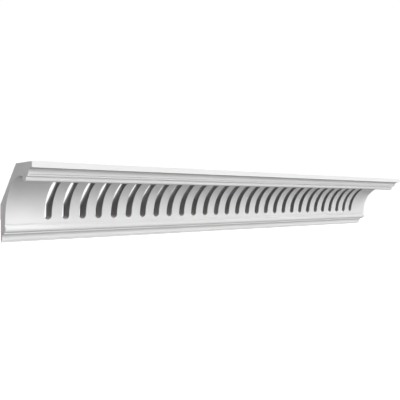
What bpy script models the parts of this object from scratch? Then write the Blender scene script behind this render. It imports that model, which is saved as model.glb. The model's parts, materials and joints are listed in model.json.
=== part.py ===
"""Vented cove cornice: one cast length of moulding with upright slots through its cove.

The moulding is a section run along X. The wall is the plane Y = 0, the face looks towards -Y, and
the ceiling is above. The origin is on the wall face, in the solid band below the slots.
"""
import math

import bmesh
import bpy

# Overall
LENGTH = 1.000

# Foot and lower hollow, from the wall outwards and upwards
FOOT_DEPTH = 0.0050
FOOT_HEIGHT = 0.0040
FOOT_STEP = 0.0033
HOLLOW_TOE = 0.0019
LOWER_HOLLOW_RADIUS = 0.0085
HOLLOW_STEP = 0.0008
FILLET_HEIGHT = 0.0021

# Bead, and the quirk that parts it from the cove
BEAD_RADIUS = 0.0061
BEAD_END_ANGLE = 67.0
QUIRK_HEIGHT = 0.0020
QUIRK_DEPTH = 0.0026

# Cove
COVE_FOOT_HEIGHT = 0.0071
COVE_RADIUS = 0.0660
COVE_WEB = 0.0110

# Lip that hangs in front of the cove's crown
LIP_HOLLOW_RADIUS = 0.0088
LIP_THICKNESS = 0.0061
LIP_NOSE_RADIUS = 0.0042
LIP_FACE_HEIGHT = 0.0034

# Stepped bed, upper hollow and fascia
BED_DEPTH = 0.0056
BED_HEIGHT = 0.0028
BED_STEP = 0.0026
UPPER_HOLLOW_RADIUS = 0.0086
SOFFIT_DEPTH = 0.0050
FASCIA_HEIGHT = 0.0089

# Flat seat against the wall, up to where the back slants away
WALL_SEAT_HEIGHT = 0.0609

# Slots, cut level through the cove
SLOT_WIDTH = 0.0126
BAR_WIDTH = 0.0182
SLOT_SILL = 0.0055
SLOT_CROWN_COVER = 0.0018
END_MARGIN = 0.0600

# Making
CUT_OVERRUN = 0.0030
CHORD_ERROR = 0.00006

# Plaster
PLASTER_COLOUR = (0.84, 0.84, 0.83, 1.0)
PLASTER_ROUGHNESS = 0.85


def clear_scene():
    """Remove whatever the file already holds."""
    for thing in list(bpy.data.objects):
        bpy.data.objects.remove(thing, do_unlink=True)


def arc_points(centre, radius, start, end):
    """Points on an arc, both ends included, close enough that no chord strays by CHORD_ERROR."""
    widest = 2 * math.degrees(math.acos(1 - CHORD_ERROR / radius))
    count = max(3, math.ceil(abs(end - start) / widest))
    angles = [math.radians(start + (end - start) * i / count) for i in range(count + 1)]
    return [(centre[0] + radius * math.cos(a), centre[1] + radius * math.sin(a)) for a in angles]


class Outline:
    """A section drawn step by step: how far out from the wall, and how far up from the underside."""

    def __init__(self):
        self.points = [(0.0, 0.0)]

    def go(self, out=0.0, up=0.0):
        """Draw a straight line by a distance out and a distance up."""
        last = self.points[-1]
        self.points.append((last[0] + out, last[1] + up))
        return self.points[-1]

    def sweep(self, radius, start, end):
        """Draw an arc that starts at the last point, and return its centre."""
        last = self.points[-1]
        angle = math.radians(start)
        centre = (last[0] - radius * math.cos(angle), last[1] - radius * math.sin(angle))
        self.points += arc_points(centre, radius, start, end)[1:]
        return centre


def draw_base(outline):
    """Foot, lower hollow, fillet, bead and quirk."""
    outline.go(out=FOOT_DEPTH)
    outline.go(up=FOOT_HEIGHT)
    outline.go(out=FOOT_STEP)
    outline.go(up=HOLLOW_TOE)
    outline.sweep(LOWER_HOLLOW_RADIUS, 180, 90)
    outline.go(out=HOLLOW_STEP)
    outline.go(up=FILLET_HEIGHT)
    outline.sweep(BEAD_RADIUS, -90, BEAD_END_ANGLE)
    outline.go(up=QUIRK_HEIGHT)
    outline.go(out=QUIRK_DEPTH)


def draw_cove(outline):
    """The cove from its foot to its crown. Returns its lowest point and its centre."""
    foot = outline.points[-1]
    outline.go(up=COVE_FOOT_HEIGHT)
    centre = outline.sweep(COVE_RADIUS, 180, 90)
    return foot, centre


def draw_head(outline):
    """Lip, stepped bed, upper hollow and fascia, up to the ceiling."""
    outline.sweep(LIP_HOLLOW_RADIUS, 90, 0)
    outline.go(out=LIP_THICKNESS)
    outline.sweep(LIP_NOSE_RADIUS, -90, 0)
    outline.go(up=LIP_FACE_HEIGHT)
    outline.go(out=BED_DEPTH)
    outline.go(up=BED_HEIGHT)
    outline.go(out=BED_STEP)
    outline.sweep(UPPER_HOLLOW_RADIUS, 180, 90)
    outline.go(out=SOFFIT_DEPTH)
    outline.go(up=FASCIA_HEIGHT)


def back_of_ceiling_seat(centre, ceiling):
    """Where the slanting back meets the ceiling. It leaves COVE_WEB of plaster behind the cove."""
    out = centre[0]
    up = centre[1] - WALL_SEAT_HEIGHT
    reach = math.hypot(out, up)
    slope = math.atan2(up, out) + math.asin((COVE_RADIUS + COVE_WEB) / reach)
    return (ceiling - WALL_SEAT_HEIGHT) / math.tan(slope), ceiling


def make_section():
    """The whole section, and the places on it that the slots and the origin are set out from."""
    outline = Outline()
    draw_base(outline)
    cove_foot, cove_centre = draw_cove(outline)
    draw_head(outline)
    ceiling = outline.points[-1][1]
    outline.points.append(back_of_ceiling_seat(cove_centre, ceiling))
    outline.points.append((0.0, WALL_SEAT_HEIGHT))
    slot_bottom = cove_foot[1] + SLOT_SILL
    slot_top = cove_centre[1] + COVE_RADIUS - SLOT_CROWN_COVER
    return outline.points, slot_bottom, slot_top, cove_centre[0]


def stadium(bottom, top):
    """A slot's outline round X = 0: straight sides, with a half circle above and below."""
    radius = SLOT_WIDTH / 2
    lower = arc_points((0.0, bottom + radius), radius, -180, 0)
    upper = arc_points((0.0, top - radius), radius, 0, 180)
    return lower + upper


def slot_places():
    """X of each slot's centre: as many as fit at one spacing, centred along the length."""
    pitch = SLOT_WIDTH + BAR_WIDTH
    gaps = int((LENGTH - 2 * END_MARGIN) / pitch)
    return [(i - gaps / 2) * pitch for i in range(gaps + 1)]


def add_prism(mesh, corners, travel):
    """Add a closed prism: a flat face on the corners, carried along by travel."""
    face = mesh.faces.new([mesh.verts.new(corner) for corner in corners])
    swept = bmesh.ops.extrude_face_region(mesh, geom=[face])
    moved = [item for item in swept["geom"] if isinstance(item, bmesh.types.BMVert)]
    bmesh.ops.translate(mesh, verts=moved, vec=travel)


def make_object(name, mesh):
    """Turn a finished bmesh into a named object in the scene."""
    bmesh.ops.recalc_face_normals(mesh, faces=mesh.faces)
    data = bpy.data.meshes.new(name)
    mesh.to_mesh(data)
    mesh.free()
    thing = bpy.data.objects.new(name, data)
    bpy.context.collection.objects.link(thing)
    return thing


def make_moulding(section, origin_height):
    """The plain moulding: its section at one end, run along the length."""
    mesh = bmesh.new()
    end = [(-LENGTH / 2, -out, up - origin_height) for out, up in section]
    add_prism(mesh, end, (LENGTH, 0.0, 0.0))
    return make_object("cornice", mesh)


def make_slot_cutter(bottom, top, reach, origin_height):
    """Every slot as one cutter. It starts under the cove's crown, so the lip stays whole."""
    mesh = bmesh.new()
    outline = stadium(bottom - origin_height, top - origin_height)
    for place in slot_places():
        front = [(place + across, -reach, up) for across, up in outline]
        add_prism(mesh, front, (0.0, reach + CUT_OVERRUN, 0.0))
    cutter = make_object("slot_cutter", mesh)
    cutter.hide_render = True
    cutter.display_type = "WIRE"
    return cutter


def cut(thing, cutter):
    """Take the cutter's shape out of the object."""
    modifier = thing.modifiers.new("slots", "BOOLEAN")
    modifier.operation = "DIFFERENCE"
    modifier.solver = "EXACT"
    modifier.object = cutter


def plaster():
    """Matt white casting plaster."""
    material = bpy.data.materials.new("plaster")
    material.use_nodes = True
    shader = material.node_tree.nodes["Principled BSDF"]
    shader.inputs["Base Color"].default_value = PLASTER_COLOUR
    shader.inputs["Roughness"].default_value = PLASTER_ROUGHNESS
    shader.inputs["Metallic"].default_value = 0.0
    material.diffuse_color = PLASTER_COLOUR
    return material


def main():
    """Build the cornice."""
    clear_scene()
    section, slot_bottom, slot_top, crown = make_section()
    origin_height = slot_bottom / 2
    cornice = make_moulding(section, origin_height)
    cut(cornice, make_slot_cutter(slot_bottom, slot_top, crown, origin_height))
    cornice.data.materials.append(plaster())


main()
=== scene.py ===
# %% [markdown]
# # A vented cove cornice
#
# The object is one metre of white plaster moulding that sits in the corner between a wall and a
# ceiling. It is cast in one piece: a foot, a bead, a deep cove with upright vent slots, a lip that
# hangs in front of the cove's crown, and a stepped fascia under the ceiling. The measured solid is
# loaded first, and everything that follows is drawn around it, in metres, with the wall at Y = 0.

# %% Load the measured solid
import json
import math

import bpy
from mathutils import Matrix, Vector


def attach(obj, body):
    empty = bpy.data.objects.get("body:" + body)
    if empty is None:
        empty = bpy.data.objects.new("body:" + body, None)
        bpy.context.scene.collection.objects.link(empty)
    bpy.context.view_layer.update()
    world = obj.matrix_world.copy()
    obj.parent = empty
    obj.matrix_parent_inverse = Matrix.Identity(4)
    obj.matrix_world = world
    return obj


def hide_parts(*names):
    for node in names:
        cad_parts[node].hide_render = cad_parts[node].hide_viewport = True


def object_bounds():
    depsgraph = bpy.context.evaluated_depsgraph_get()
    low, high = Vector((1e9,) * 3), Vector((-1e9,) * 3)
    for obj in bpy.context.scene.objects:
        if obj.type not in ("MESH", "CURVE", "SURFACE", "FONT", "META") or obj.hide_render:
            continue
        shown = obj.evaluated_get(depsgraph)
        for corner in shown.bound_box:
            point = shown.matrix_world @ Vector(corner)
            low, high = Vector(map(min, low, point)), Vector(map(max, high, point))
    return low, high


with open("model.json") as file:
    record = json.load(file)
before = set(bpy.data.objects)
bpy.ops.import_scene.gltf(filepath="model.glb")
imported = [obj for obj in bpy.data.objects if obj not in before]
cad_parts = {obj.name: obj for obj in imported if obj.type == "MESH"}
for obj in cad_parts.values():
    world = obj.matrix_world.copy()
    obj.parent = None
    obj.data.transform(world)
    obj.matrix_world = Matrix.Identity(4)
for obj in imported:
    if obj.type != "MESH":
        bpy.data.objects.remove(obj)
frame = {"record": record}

cad_low, cad_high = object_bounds()
bpy.ops.object.select_all(action="DESELECT")
print("solid's box:", [round(v, 4) for v in cad_low], "to", [round(v, 4) for v in cad_high])

# %% [markdown]
# ## The camera
#
# The moulding is seen from its left end, level with its middle, so upright edges stay upright and
# the long edges all run to one point on the right. A camera that looks level and is turned to the
# right gives that. A shift of a few thousandths of the picture brings the horizon to its place.

# %% Stand the camera in front of the left end
PICTURE_WIDTH = 400
FOCAL_PIXELS = 500.7
HORIZON_ABOVE_MIDDLE = 1.2
CAMERA_TURN = math.radians(40.0)
CAMERA_PLACE = (-0.7678, -0.8114, 0.0698)

base = cad_low.z
bpy.ops.object.camera_add(
    location=(CAMERA_PLACE[0], CAMERA_PLACE[1], base + CAMERA_PLACE[2]),
    rotation=(math.radians(90), 0, -CAMERA_TURN),
)
camera = bpy.context.object
camera.name = "camera"
camera.data.lens = camera.data.sensor_width * FOCAL_PIXELS / PICTURE_WIDTH
camera.data.shift_y = -HORIZON_ABOVE_MIDDLE / PICTURE_WIDTH
camera.data.dof.use_dof = False
bpy.context.scene.camera = camera
print("lens:", round(camera.data.lens, 2), "mm")

# %% [markdown]
# ## Where the slots stand
#
# Every slot is the same, so only one short bay of the moulding has to be modelled: the stretch from
# the middle of one bar to the middle of the next. The solid's record gives a box inside each slot,
# and the centres of those boxes say how wide a bay is and where the first one stands.

# %% Read the bay's width from the record
slot_boxes = [opening["box_m"] for opening in frame["record"]["physics"]["openings"]]
slot_centres = sorted((low[0] + high[0]) / 2 for low, high in slot_boxes)
bay = (slot_centres[-1] - slot_centres[0]) / (len(slot_centres) - 1)
print(len(slot_centres), "slots, one every", round(bay * 1000, 2), "mm")

# %% [markdown]
# ## The section
#
# A plasterer cuts the section into a metal plate and runs that plate along wet plaster. The same
# drawing is made here with a pen that works in edit mode: a straight stretch extrudes the last
# point, and a round one spins it about a centre. Each member has its own size, written once, so the
# drawing reads from the wall outwards and from the foot upwards, as a moulding is described.

# %% Name the sizes of the members, in metres
FOOT_DEPTH = 0.0050
FOOT_HEIGHT = 0.0040
FOOT_STEP = 0.0033
HOLLOW_TOE = 0.0019
LOWER_HOLLOW_RADIUS = 0.0085
HOLLOW_STEP = 0.0008
FILLET_HEIGHT = 0.0021
BEAD_RADIUS = 0.0061
BEAD_END_ANGLE = 67.0
QUIRK_HEIGHT = 0.0020
QUIRK_DEPTH = 0.0026
COVE_FOOT_HEIGHT = 0.0071
COVE_RADIUS = 0.0660
LIP_HOLLOW_RADIUS = 0.0088
LIP_THICKNESS = 0.0061
LIP_NOSE_RADIUS = 0.0042
LIP_FACE_HEIGHT = 0.0034
BED_DEPTH = 0.0056
BED_HEIGHT = 0.0028
BED_STEP = 0.0026
UPPER_HOLLOW_RADIUS = 0.0086
SOFFIT_DEPTH = 0.0050
FASCIA_HEIGHT = 0.0089
COVE_WEB = 0.0110
WALL_SEAT_HEIGHT = 0.0609
print("the cove's radius is", COVE_RADIUS * 1000, "mm and the bead's", BEAD_RADIUS * 1000, "mm")

# %% A pen that draws in edit mode
START_SIZE = 0.01


class Pen:
    """Draws a chain of edges at one X. Out from the wall is -Y, and up is +Z."""

    def __init__(self, place, up):
        """Start with one point on the wall: a small plane, of any size, merged at its middle."""
        bpy.ops.mesh.primitive_plane_add(size=START_SIZE, location=(place, 0, up))
        bpy.ops.object.transform_apply(location=True)
        bpy.ops.object.mode_set(mode="EDIT")
        bpy.ops.mesh.merge(type="CENTER")
        self.place, self.out, self.up = place, 0.0, up

    def line(self, out=0.0, up=0.0):
        """Draw a straight edge."""
        bpy.ops.mesh.extrude_vertices_move(TRANSFORM_OT_translate={"value": (0, -out, up)})
        self.out += out
        self.up += up

    def arc(self, radius, start, end, facet):
        """Draw an arc from one angle to another, in facets of so many degrees. Returns its centre."""
        out = self.out - radius * math.cos(math.radians(start))
        up = self.up - radius * math.sin(math.radians(start))
        bpy.ops.mesh.spin(
            steps=round(abs(end - start) / facet),
            angle=math.radians(end - start),
            center=(self.place, -out, up),
            axis=(1, 0, 0),
        )
        self.out = out + radius * math.cos(math.radians(end))
        self.up = up + radius * math.sin(math.radians(end))
        return out, up


# %% Draw the foot, the hollow and the bead, with facets of so many degrees
SMALL_FACET = 6
COVE_FACET = 2.25

bay_left = slot_centres[0] - bay / 2
pen = Pen(bay_left, base)
pen.line(out=FOOT_DEPTH)
pen.line(up=FOOT_HEIGHT)
pen.line(out=FOOT_STEP)
pen.line(up=HOLLOW_TOE)
pen.arc(LOWER_HOLLOW_RADIUS, 180, 90, SMALL_FACET)
pen.line(out=HOLLOW_STEP)
pen.line(up=FILLET_HEIGHT)
pen.arc(BEAD_RADIUS, -90, BEAD_END_ANGLE, SMALL_FACET)
pen.line(up=QUIRK_HEIGHT)
pen.line(out=QUIRK_DEPTH)
bead_height = pen.up - base
print("the bead ends", round(pen.out * 1000, 2), "mm out and", round(bead_height * 1000, 2), "mm up")

# %% Draw the cove
cove_foot = pen.up
pen.line(up=COVE_FOOT_HEIGHT)
cove_out, cove_up = pen.arc(COVE_RADIUS, 180, 90, COVE_FACET)
print("the cove's crown is", round((pen.up - base) * 1000, 2), "mm up")

# %% Draw the lip, the bed mould and the fascia
pen.arc(LIP_HOLLOW_RADIUS, 90, 0, SMALL_FACET)
pen.line(out=LIP_THICKNESS)
pen.arc(LIP_NOSE_RADIUS, -90, 0, SMALL_FACET)
pen.line(up=LIP_FACE_HEIGHT)
pen.line(out=BED_DEPTH)
pen.line(up=BED_HEIGHT)
pen.line(out=BED_STEP)
pen.arc(UPPER_HOLLOW_RADIUS, 180, 90, SMALL_FACET)
pen.line(out=SOFFIT_DEPTH)
pen.line(up=FASCIA_HEIGHT)
print("the fascia stands", round(pen.out * 1000, 2), "mm out, and the solid", round(-cad_low.y * 1000, 2))

# %% Slant the back so that the plaster behind the cove keeps its thickness
seat_up = base + WALL_SEAT_HEIGHT
reach = math.hypot(cove_out, cove_up - seat_up)
slope = math.atan2(cove_up - seat_up, cove_out) + math.asin((COVE_RADIUS + COVE_WEB) / reach)
ceiling_seat_back = (pen.up - seat_up) / math.tan(slope)
pen.line(out=ceiling_seat_back - pen.out)
pen.line(out=-pen.out, up=seat_up - pen.up)
bpy.ops.mesh.select_all(action="SELECT")
bpy.ops.mesh.edge_face_add()
casting = bpy.context.object
casting.name = "cornice_casting"
print("the back slants at", round(math.degrees(slope), 1), "degrees")

# %% [markdown]
# ## Softened arrises
#
# No cast edge is perfectly sharp. The rubber mould and the paint leave each arris a little round,
# and that thin round is what catches the light. It is put into the section before the section is
# run along, where it costs nothing: only the true corners are picked, by how far the outline turns
# at them, and a vertex bevel rounds them.


# %% Pick things in code
def pick(thing, kind, wanted):
    """Select the vertices, edges or faces that a test wants, and go to edit mode."""
    bpy.ops.object.mode_set(mode="EDIT")
    bpy.ops.mesh.select_mode(type=kind)
    bpy.ops.mesh.select_all(action="DESELECT")
    bpy.ops.object.mode_set(mode="OBJECT")
    mesh = thing.data
    parts = {"VERT": mesh.vertices, "EDGE": mesh.edges, "FACE": mesh.polygons}[kind]
    found = [part for part in parts if wanted(part)]
    for part in found:
        part.select = True
    bpy.ops.object.mode_set(mode="EDIT")
    return len(found)


# %% Round the section's corners
ARRIS_RADIUS = 0.0003
ARRIS_STEPS = 3
CORNER_TURN = math.radians(25)

bpy.ops.object.mode_set(mode="OBJECT")
loop = list(casting.data.polygons[0].vertices)
corners = set()
for before, here, after in zip(loop[-1:] + loop[:-1], loop, loop[1:] + loop[:1]):
    places = [casting.data.vertices[i].co for i in (before, here, after)]
    if (places[1] - places[0]).angle(places[2] - places[1]) > CORNER_TURN:
        corners.add(here)
rounded = pick(casting, "VERT", lambda vertex: vertex.index in corners)
bpy.ops.mesh.bevel(offset=ARRIS_RADIUS, segments=ARRIS_STEPS, affect="VERTICES")
bpy.ops.object.mode_set(mode="OBJECT")
print(rounded, "corners rounded,", len(casting.data.vertices), "points in the section")

# %% [markdown]
# ## One bay
#
# The section is run along one bay. The slot is a stadium: a cylinder whose upper half is lifted.
# It is cut level, straight through to the back, as a maker would cut it or a loose mould piece
# would form it. The cutter starts under the cove's crown, so the lip in front stays whole, and it
# ends a little behind the wall, so no skin is left across the slot.

# %% Run the section along one bay
pick(casting, "FACE", lambda face: True)
bpy.ops.mesh.extrude_region_move(TRANSFORM_OT_translate={"value": (bay, 0, 0)})
bpy.ops.mesh.select_all(action="SELECT")
bpy.ops.mesh.normals_make_consistent(inside=False)
bpy.ops.object.mode_set(mode="OBJECT")
print("one bay has", len(casting.data.polygons), "faces")

# %% Make the slot's cutter
SLOT_WIDTH = 0.0126
SLOT_SILL = 0.0055
SLOT_CROWN_COVER = 0.0018
SLOT_SIDES = 40
CUT_OVERRUN = 0.0030

slot_bottom = cove_foot + SLOT_SILL
slot_top = cove_up + COVE_RADIUS - SLOT_CROWN_COVER
lower_centre = slot_bottom + SLOT_WIDTH / 2
half_turn = math.pi / SLOT_SIDES
bpy.ops.mesh.primitive_cylinder_add(
    vertices=SLOT_SIDES,
    radius=SLOT_WIDTH / 2 / math.cos(half_turn),
    depth=cove_out + CUT_OVERRUN,
    location=(slot_centres[0], (CUT_OVERRUN - cove_out) / 2, lower_centre),
    rotation=(math.radians(90), half_turn, 0),
)
bpy.ops.object.transform_apply(location=True, rotation=True)
cutter = bpy.context.object
pick(cutter, "VERT", lambda vertex: vertex.co.z > lower_centre)
bpy.ops.transform.translate(value=(0, 0, slot_top - slot_bottom - SLOT_WIDTH))
bpy.ops.object.mode_set(mode="OBJECT")
print("the cutter's box is", [round(v * 1000, 2) for v in cutter.dimensions], "mm")

# %% Cut the slot
bpy.ops.object.select_all(action="DESELECT")
bpy.context.view_layer.objects.active = casting
casting.select_set(True)
slot_cut = casting.modifiers.new("slot", "BOOLEAN")
slot_cut.object = cutter
slot_cut.solver = "EXACT"
bpy.ops.object.modifier_apply(modifier=slot_cut.name)
bpy.data.objects.remove(cutter, do_unlink=True)
print("after the cut the bay has", len(casting.data.polygons), "faces")

# %% [markdown]
# ## The slot's rims
#
# A rim is where a wall of the slot, which runs straight back along Y, meets the cove or the back.
# That is also how it is found: an edge inside the slot's width with one such wall beside it and one
# face that isn't. A narrow bevel softens it, front and back. Under the lip the slot's crown runs out
# into the cove almost flat. Nothing is left to soften there, so edges that hardly bend are left out.
# Points that the cut left almost on each other are joined first, because a bevel needs room.

# %% Join points that the cut left almost on each other
SAME_POINT = 0.0001

pick(casting, "VERT", lambda vertex: True)
bpy.ops.mesh.remove_doubles(threshold=SAME_POINT)
bpy.ops.object.mode_set(mode="OBJECT")
print(len(casting.data.vertices), "points are left")

# %% Find the rims
NEARLY = 0.00001
WIDTH_SLACK = 0.00003
HARDLY = 0.001
LEAST_BEND = math.radians(35)


def runs_back(normal):
    """True for a face that runs straight back, from the room to the wall."""
    return abs(normal.y) < HARDLY


def rim_edges(thing):
    """Edges inside the slot's width that part a wall of the slot from another surface."""
    beside = {}
    for face in thing.data.polygons:
        for key in face.edge_keys:
            beside.setdefault(key, []).append(face.normal)
    found = set()
    for edge in thing.data.edges:
        across = [abs(thing.data.vertices[i].co.x - slot_centres[0]) for i in edge.vertices]
        first, second = beside[tuple(sorted(edge.vertices))]
        parts = runs_back(first) != runs_back(second) and first.angle(second) > LEAST_BEND
        if parts and max(across) < SLOT_WIDTH / 2 + WIDTH_SLACK:
            found.add(edge.index)
    return found


# %% Soften the rims
RIM_RADIUS = 0.0002
RIM_STEPS = 2

rims = rim_edges(casting)
pick(casting, "EDGE", lambda edge: edge.index in rims)
bpy.ops.mesh.bevel(offset=RIM_RADIUS, segments=RIM_STEPS, affect="EDGES")
bpy.ops.object.mode_set(mode="OBJECT")
print(len(rims), "rim edges softened, and the bay now has", len(casting.data.polygons), "faces")

# %% [markdown]
# ## The whole length
#
# The bay's two cut faces are opened and an Array modifier sets copies side by side, so that their
# edges fall on each other and merge. The plain stretch at each end is drawn out from the last
# edges, and only then is each end closed with a flat face. One continuous skin is left. The ends'
# edges are softened last, by less than the arrises' radius, because a wider bevel would use up those
# small rounds and spoil the end faces.

# %% Open the bay and repeat it
FACES_ALONG = 0.99
JOIN_WITHIN = 0.00005

bay_right = bay_left + bay


def is_cut_face(face):
    """True for the two flat faces that close the bay."""
    middle = face.center.x
    outermost = middle < bay_left + NEARLY or middle > bay_right - NEARLY
    return abs(face.normal.x) > FACES_ALONG and outermost


pick(casting, "FACE", is_cut_face)
bpy.ops.mesh.delete(type="FACE")
bpy.ops.object.mode_set(mode="OBJECT")
bays = casting.modifiers.new("bays", "ARRAY")
bays.count = len(slot_centres)
bays.use_relative_offset = False
bays.use_constant_offset = True
bays.constant_offset_displace = (bay, 0, 0)
bays.use_merge_vertices = True
bays.merge_threshold = JOIN_WITHIN
bpy.ops.object.modifier_apply(modifier=bays.name)
print("the slotted stretch has", len(casting.data.polygons), "faces")

# %% Draw out and close the plain ends
slotted_right = bay_left + bay * len(slot_centres)


def draw_out_end(thing, now, end):
    """Draw the open edges at one X out to the moulding's end, and close it with a flat face."""
    def at_opening(edge):
        return all(abs(thing.data.vertices[i].co.x - now) < NEARLY for i in edge.vertices)

    count = pick(thing, "EDGE", at_opening)
    bpy.ops.mesh.extrude_edges_move(TRANSFORM_OT_translate={"value": (end - now, 0, 0)})
    bpy.ops.mesh.edge_face_add()
    bpy.ops.object.mode_set(mode="OBJECT")
    return count


for now, end in ((bay_left, cad_low.x), (slotted_right, cad_high.x)):
    print("end at", round(end, 3), "closed over", draw_out_end(casting, now, end), "edges")

# %% Soften the cut ends
END_ARRIS = 0.0002
END_STEPS = 2

ends = (cad_low.x, cad_high.x)


def on_an_end(edge):
    """True for an edge of either end face."""
    places = [casting.data.vertices[i].co.x for i in edge.vertices]
    return any(all(abs(place - end) < NEARLY for place in places) for end in ends)


softened = pick(casting, "EDGE", on_an_end)
bpy.ops.mesh.bevel(offset=END_ARRIS, segments=END_STEPS, affect="EDGES")
bpy.ops.mesh.select_all(action="SELECT")
bpy.ops.mesh.normals_make_consistent(inside=False)
bpy.ops.object.mode_set(mode="OBJECT")
print(softened, "edges softened round the two ends")

# %% Check that the skin is closed
uses = {}
for face in casting.data.polygons:
    for key in face.edge_keys:
        uses[key] = uses.get(key, 0) + 1
open_edges = sum(1 for count in uses.values() if count != 2)
triangles = sum(len(face.vertices) - 2 for face in casting.data.polygons)
print(triangles, "triangles,", open_edges, "open edges")

# %% [markdown]
# ## Shading
#
# Where two faces meet at a small angle the surface is one smooth round, and at a wide angle it is an
# edge. Weighted normals then let each large flat face set the shading at its border, so the flats
# stay flat right up to the softened arrises, as on a real run moulding.

# %% Shade the rounds smooth and the flats flat
SMOOTH_ANGLE = math.radians(35)

bpy.ops.object.shade_smooth_by_angle(angle=SMOOTH_ANGLE)
weights = casting.modifiers.new("flats", "WEIGHTED_NORMAL")
weights.keep_sharp = True
bpy.ops.object.modifier_apply(modifier=weights.name)
print(sum(edge.use_edge_sharp for edge in casting.data.edges), "edges stay sharp")

# %% [markdown]
# ## White plaster
#
# Cast plaster under a coat of white primer looks plain, but it isn't one flat colour. It is matt,
# with faint clouds where it dried unevenly, very slight lines along its length from the metal plate
# that ran the model, a fine grain, and here and there a pinhole where an air bubble sat against the
# mould. An image could carry all that, but it would need unwrapping and would stretch somewhere.
# Noise worked out from Object coordinates has the right size everywhere and sits still on the piece.


# %% Shader arithmetic written as Python
class Value:
    """A number that changes over the surface. Arithmetic on it adds Math nodes."""

    def __init__(self, nodes, socket):
        self.nodes = nodes
        self.socket = socket

    def maths(self, operation, first, second):
        """Add one Math node."""
        node = self.nodes.add("ShaderNodeMath", {"operation": operation}, {0: first, 1: second})
        return Value(self.nodes, node.outputs[0])

    def __add__(self, other):
        return self.maths("ADD", self, other)

    def __radd__(self, other):
        return self.maths("ADD", other, self)

    def __mul__(self, other):
        return self.maths("MULTIPLY", self, other)

    def __rmul__(self, other):
        return self.maths("MULTIPLY", other, self)

    def __sub__(self, other):
        return self.maths("SUBTRACT", self, other)

    def __rsub__(self, other):
        return self.maths("SUBTRACT", other, self)


# %% The one method that adds a node
class Nodes:
    """A node tree that is built up node by node."""

    def __init__(self, owner):
        owner.use_nodes = True
        self.owner = owner
        self.tree = owner.node_tree

    def add(self, kind, settings, inputs):
        """Add a node: first its settings, then a value or a link for each socket."""
        node = self.tree.nodes.new(kind)
        for name, value in settings.items():
            setattr(node, name, value)
        for name, value in inputs.items():
            self.feed(node.inputs[name], value)
        return node

    def feed(self, socket, value):
        """Give a socket a plain value or a link."""
        if isinstance(value, Value):
            value = value.socket
        if isinstance(value, bpy.types.NodeSocket):
            self.tree.links.new(value, socket)
        else:
            socket.default_value = value


# %% A finish: a material with the patterns that plaster needs
class Finish(Nodes):
    """A matt material whose patterns are placed by Object coordinates. Lengths are in metres."""

    def __init__(self, name, gloss):
        super().__init__(bpy.data.materials.new(name))
        self.shader = self.tree.nodes["Principled BSDF"]
        self.shader.inputs["Specular IOR Level"].default_value = gloss
        self.place = self.add("ShaderNodeTexCoord", {}, {}).outputs["Object"]

    def stretched(self, scale):
        """The place on the piece, scaled by a different amount each way."""
        inputs = {"Vector": self.place, "Scale": scale}
        return self.add("ShaderNodeMapping", {}, inputs).outputs["Vector"]

    def noise(self, scale, detail, place=None):
        """Soft noise from 0 to 1."""
        inputs = {"Vector": place or self.place, "Scale": scale, "Detail": detail}
        return Value(self, self.add("ShaderNodeTexNoise", {}, inputs).outputs["Fac"])

    def between(self, amount, low, high):
        """An amount from low to high brought to 0 to 1, with soft ends."""
        settings = {"interpolation_type": "SMOOTHSTEP"}
        inputs = {"Value": amount, "From Min": low, "From Max": high}
        return Value(self, self.add("ShaderNodeMapRange", settings, inputs).outputs["Result"])

    def mix(self, amount, first, second):
        """A colour between two colours."""
        node = self.add("ShaderNodeMix", {"data_type": "RGBA"}, {"Factor": amount})
        for socket, colour in zip([s for s in node.inputs if s.type == "RGBA"], (first, second)):
            self.feed(socket, colour)
        return next(s for s in node.outputs if s.type == "RGBA")

    def pinholes(self, radius, spacing, share):
        """1 inside an air hole and 0 elsewhere. Only a share of the evenly spread cells has one."""
        inputs = {"Vector": self.place, "Scale": 1 / spacing}
        cells = self.add("ShaderNodeTexVoronoi", {}, inputs)
        rim = radius / spacing
        outside = self.between(Value(self, cells.outputs["Distance"]), low=rim / 2, high=rim)
        lots = self.add("ShaderNodeSeparateColor", {}, {"Color": cells.outputs["Color"]})
        lot = Value(self, lots.outputs["Red"])
        softness = 0.01
        chosen = self.between(lot, low=1 - share, high=1 + softness - share)
        return (1 - outside) * chosen

    def colour(self, value):
        """Feed the base colour."""
        self.feed(self.shader.inputs["Base Color"], value)

    def roughness(self, value):
        """Feed the roughness."""
        self.feed(self.shader.inputs["Roughness"], value)

    def relief(self, height):
        """Raise and lower the surface by a height in metres."""
        bump = self.add("ShaderNodeBump", {}, {"Height": height, "Distance": 1.0, "Strength": 1.0})
        self.feed(self.shader.inputs["Normal"], bump.outputs["Normal"])


# %% The primed face
PRIMER_DULL = (0.788, 0.788, 0.785, 1)
PRIMER_CLEAN = (0.812, 0.812, 0.810, 1)
# Painted shade for the inside of a pinhole.
PRIMER_HOLE_PAINTED_SHADE = (0.60, 0.60, 0.59, 1)
PRIMED_GLOSS = 0.25


def primed_plaster():
    """Matt white primer over cast plaster."""
    finish = Finish("primed_plaster", PRIMED_GLOSS)
    clouds = finish.noise(scale=9, detail=4)
    run_lines = finish.noise(scale=1, detail=2, place=finish.stretched((3, 420, 420)))
    grain = finish.noise(scale=1400, detail=2)
    holes = finish.pinholes(radius=0.00035, spacing=0.014, share=0.35)
    tone = finish.between(clouds + 0.25 * run_lines, low=0.35, high=0.90)
    white = finish.mix(tone, PRIMER_DULL, PRIMER_CLEAN)
    # Inside each pinhole the colour is darkened: painted shade for the hollow, whose depth comes from the
    # relief.
    finish.colour(finish.mix(holes * 0.5, white, PRIMER_HOLE_PAINTED_SHADE))
    finish.roughness(0.78 + 0.12 * clouds)
    finish.relief(0.00001 * grain + 0.00001 * run_lines - 0.0003 * holes)
    return finish.owner


# %% [markdown]
# ## The bare back
#
# The back goes against the wall and the ceiling, so it is never painted. The caster strikes the wet
# plaster off with a float, which leaves broad, shallow marks along the length, a coarser grain and
# more open air holes. Long, low noise in the bump gives the marks, because they are far too shallow
# to be worth real faces.

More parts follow.
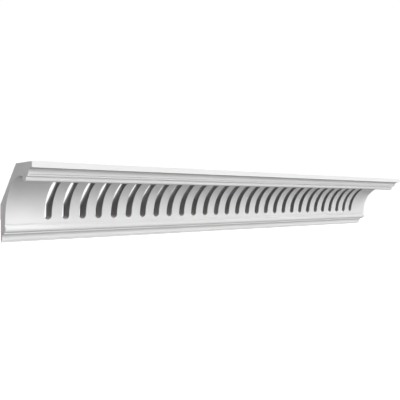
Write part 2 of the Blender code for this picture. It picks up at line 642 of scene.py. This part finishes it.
# %% The bare back
BARE_GLOSS = 0.2
FLOATED_DARK = (0.750, 0.746, 0.730, 1)
FLOATED_LIGHT = (0.820, 0.817, 0.804, 1)
# Painted shade for the inside of an air hole.
FLOATED_HOLE_PAINTED_SHADE = (0.50, 0.49, 0.47, 1)


def floated_plaster():
    """Unpainted plaster, struck off by hand with a float."""
    finish = Finish("floated_plaster", BARE_GLOSS)
    clouds = finish.noise(scale=14, detail=5)
    float_marks = finish.noise(scale=1, detail=3, place=finish.stretched((9, 55, 55)))
    grain = finish.noise(scale=700, detail=3)
    holes = finish.pinholes(radius=0.0006, spacing=0.010, share=0.6)
    tone = finish.between(clouds + 0.4 * float_marks, low=0.40, high=1.00)
    body = finish.mix(tone, FLOATED_DARK, FLOATED_LIGHT)
    # Inside each air hole the colour is darkened: painted shade for the hollow, whose depth comes from
    # the relief.
    finish.colour(finish.mix(holes * 0.7, body, FLOATED_HOLE_PAINTED_SHADE))
    finish.roughness(0.85 + 0.12 * grain)
    finish.relief(0.0004 * float_marks + 0.00012 * grain - 0.0004 * holes)
    return finish.owner


# %% [markdown]
# ## The slots' walls
#
# The core of each slot is drawn out to the back, and it drags fine lines with it. These walls are
# coloured a good deal darker than the primed face; that darkness is painted shade for the inside of
# the slots, and it is what makes the slots read as deep. The lines are noise that is stretched along Y.

# %% The slots' walls
# Both colours are painted shade for the inside of the slots; the step between them is random tone.
SLOT_PAINTED_SHADE_DARK = (0.535, 0.533, 0.525, 1)
SLOT_PAINTED_SHADE_LIGHT = (0.590, 0.588, 0.580, 1)


def drawn_plaster():
    """Plaster inside a slot, darkened with painted shade, with drag lines where the core was drawn out to
    the back.
    """
    finish = Finish("drawn_plaster", BARE_GLOSS)
    clouds = finish.noise(scale=30, detail=4)
    drag_lines = finish.noise(scale=1, detail=2, place=finish.stretched((600, 20, 600)))
    tone = finish.between(clouds + 0.3 * drag_lines, low=0.40, high=0.95)
    finish.colour(finish.mix(tone, SLOT_PAINTED_SHADE_DARK, SLOT_PAINTED_SHADE_LIGHT))
    finish.roughness(0.85 + 0.10 * drag_lines)
    finish.relief(0.00006 * drag_lines)
    return finish.owner


# %% [markdown]
# ## The sawn ends
#
# A length is sawn square, so that the next one butts against it. The cut shows the plaster's own
# body: fine upright scores from the saw, and air holes that the blade has opened. The scores are
# noise that is squeezed along Y and only a little along Z.

# %% The sawn ends
SAWN_DARK = (0.740, 0.738, 0.728, 1)
SAWN_LIGHT = (0.790, 0.788, 0.780, 1)
# Painted shade for the inside of an opened air hole.
SAWN_HOLE_PAINTED_SHADE = (0.55, 0.545, 0.53, 1)


def sawn_plaster():
    """Unpainted plaster at a cut end, with the fine upright scores of a saw and open air holes."""
    finish = Finish("sawn_plaster", BARE_GLOSS)
    clouds = finish.noise(scale=25, detail=4)
    scores = finish.noise(scale=1, detail=3, place=finish.stretched((1, 900, 40)))
    holes = finish.pinholes(radius=0.0005, spacing=0.006, share=0.5)
    tone = finish.between(clouds + 0.4 * scores, low=0.40, high=1.00)
    body = finish.mix(tone, SAWN_DARK, SAWN_LIGHT)
    # Inside each opened air hole the colour is darkened: painted shade for the hollow, whose depth comes
    # from the relief.
    finish.colour(finish.mix(holes * 0.6, body, SAWN_HOLE_PAINTED_SHADE))
    finish.roughness(0.85 + 0.10 * scores)
    finish.relief(0.00005 * scores - 0.0003 * holes)
    return finish.owner


# %% [markdown]
# ## Where each finish goes
#
# One casting has one skin, so the finishes are told apart by where a face lies and which way it
# faces: what looks back or up at the ceiling is bare, what runs straight back inside the slots is
# darkened with painted shade, the two flat ends are sawn, and all the rest is primed.

# %% Tell the surfaces apart
FACES_UP = 0.9
LEANS_BACK = 0.3


def faces_back(face):
    """True for the wall seat, the slanting back and the ceiling seat."""
    towards_ceiling = face.normal.z > FACES_UP and face.center.z > cad_high.z - ARRIS_RADIUS
    return face.normal.y > LEANS_BACK or towards_ceiling


def walls_a_slot(face):
    """True for a face that runs straight back and lies between the cove and the slanting back."""
    along = bay_left < face.center.x < slotted_right
    up = slot_bottom - NEARLY < face.center.z < slot_top + NEARLY
    return runs_back(face.normal) and along and up and face.center.y > -cove_out


def is_end(face):
    """True for the two cut ends."""
    return abs(face.normal.x) > FACES_ALONG and abs(face.center.x) > cad_high.x - NEARLY


# %% Give each surface its finish
casting.data.materials.append(primed_plaster())
others = ((floated_plaster, faces_back), (drawn_plaster, walls_a_slot), (sawn_plaster, is_end))
for number, (make, belongs) in enumerate(others, start=1):
    casting.data.materials.append(make())
    count = pick(casting, "FACE", belongs)
    casting.active_material_index = number
    bpy.ops.object.material_slot_assign()
    print(count, "faces are", casting.data.materials[number].name)
bpy.ops.object.mode_set(mode="OBJECT")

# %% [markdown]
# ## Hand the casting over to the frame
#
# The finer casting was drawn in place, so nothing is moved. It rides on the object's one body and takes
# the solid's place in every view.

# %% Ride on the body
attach(casting, "root")
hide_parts("cornice")
print(casting.name, "stands for the solid cornice")

# %% [markdown]
# ## The studio
#
# The moulding is shown alone on white. The floor is a pale sheet far below, which only the camera
# sees, so that it throws no light up into the cove. The lamps are suns with a wide disc: their light
# is soft but arrives parallel, so the far end is lit as the near end is. Most stand in front, from
# low to high, so the cove is bright at its foot and falls away to a soft grey under the lip. Others
# at the side and behind show the ends and the back, and the surround adds very little, which keeps
# the slots deep.

# %% Lay the floor
FLOOR_DROP = 1.2
FLOOR_SIZE = 60
PAPER = (0.9, 0.9, 0.9, 1)
WHITE = (1, 1, 1, 1)
BACKDROP = 1.05
PAPER_GLOSS = 0.2

bpy.ops.mesh.primitive_plane_add(size=FLOOR_SIZE, location=(0, 0, base - FLOOR_DROP))
floor = bpy.context.object
floor.name = "floor"
paper = Finish("white_paper", PAPER_GLOSS)
paper.shader.inputs["Base Color"].default_value = PAPER
paper.shader.inputs["Emission Color"].default_value = WHITE
paper.shader.inputs["Emission Strength"].default_value = BACKDROP
floor.data.materials.append(paper.owner)
floor.visible_diffuse = False
floor.visible_glossy = False
floor.visible_shadow = False
print("the floor lies", FLOOR_DROP, "m below the moulding")

# %% Fill the surround
FILL = 0.02

world = bpy.data.worlds.new("surround")
bpy.context.scene.world = world
surround = Nodes(world)
fill = surround.add("ShaderNodeBackground", {}, {"Color": WHITE, "Strength": FILL})
backdrop = surround.add("ShaderNodeBackground", {}, {"Color": WHITE, "Strength": BACKDROP})
seen = surround.add("ShaderNodeLightPath", {}, {}).outputs["Is Camera Ray"]
inputs = {0: seen, 1: fill.outputs[0], 2: backdrop.outputs[0]}
choice = surround.add("ShaderNodeMixShader", {}, inputs)
surround.feed(surround.tree.nodes["World Output"].inputs["Surface"], choice.outputs[0])
print("the camera sees a surround of", BACKDROP, "and the moulding one of", FILL)

# %% Hang the lamps
LAMP_DISTANCE = 3.0
LAMP_SPREAD = math.radians(20)


def hang_lamp(name, turn, rise, strength):
    """A soft sun: turned round from straight in front and raised, in degrees."""
    level = math.cos(math.radians(rise))
    towards = Vector((
        math.sin(math.radians(turn)) * level,
        -math.cos(math.radians(turn)) * level,
        math.sin(math.radians(rise)),
    ))
    bpy.ops.object.light_add(type="SUN", location=towards * LAMP_DISTANCE)
    lamp = bpy.context.object
    lamp.name = name
    lamp.rotation_euler = (-towards).to_track_quat("-Z", "Y").to_euler()
    lamp.data.angle = LAMP_SPREAD
    lamp.data.energy = strength


hang_lamp("front", 0, 15, 1.03)
hang_lamp("front_low", 0, -25, 1.29)
hang_lamp("front_right_high", 15, 30, 0.86)
hang_lamp("left_high", -60, 40, 0.91)
hang_lamp("left", -80, 25, 0.67)
hang_lamp("back_left_high", -135, 35, 0.05)
hang_lamp("back", 180, 35, 1.40)
hang_lamp("right", 90, 5, 0.40)
print(len(bpy.data.lights), "lamps")

# %% Show white as white
bpy.context.scene.view_settings.view_transform = "Standard"
print("view transform:", bpy.context.scene.view_settings.view_transform)
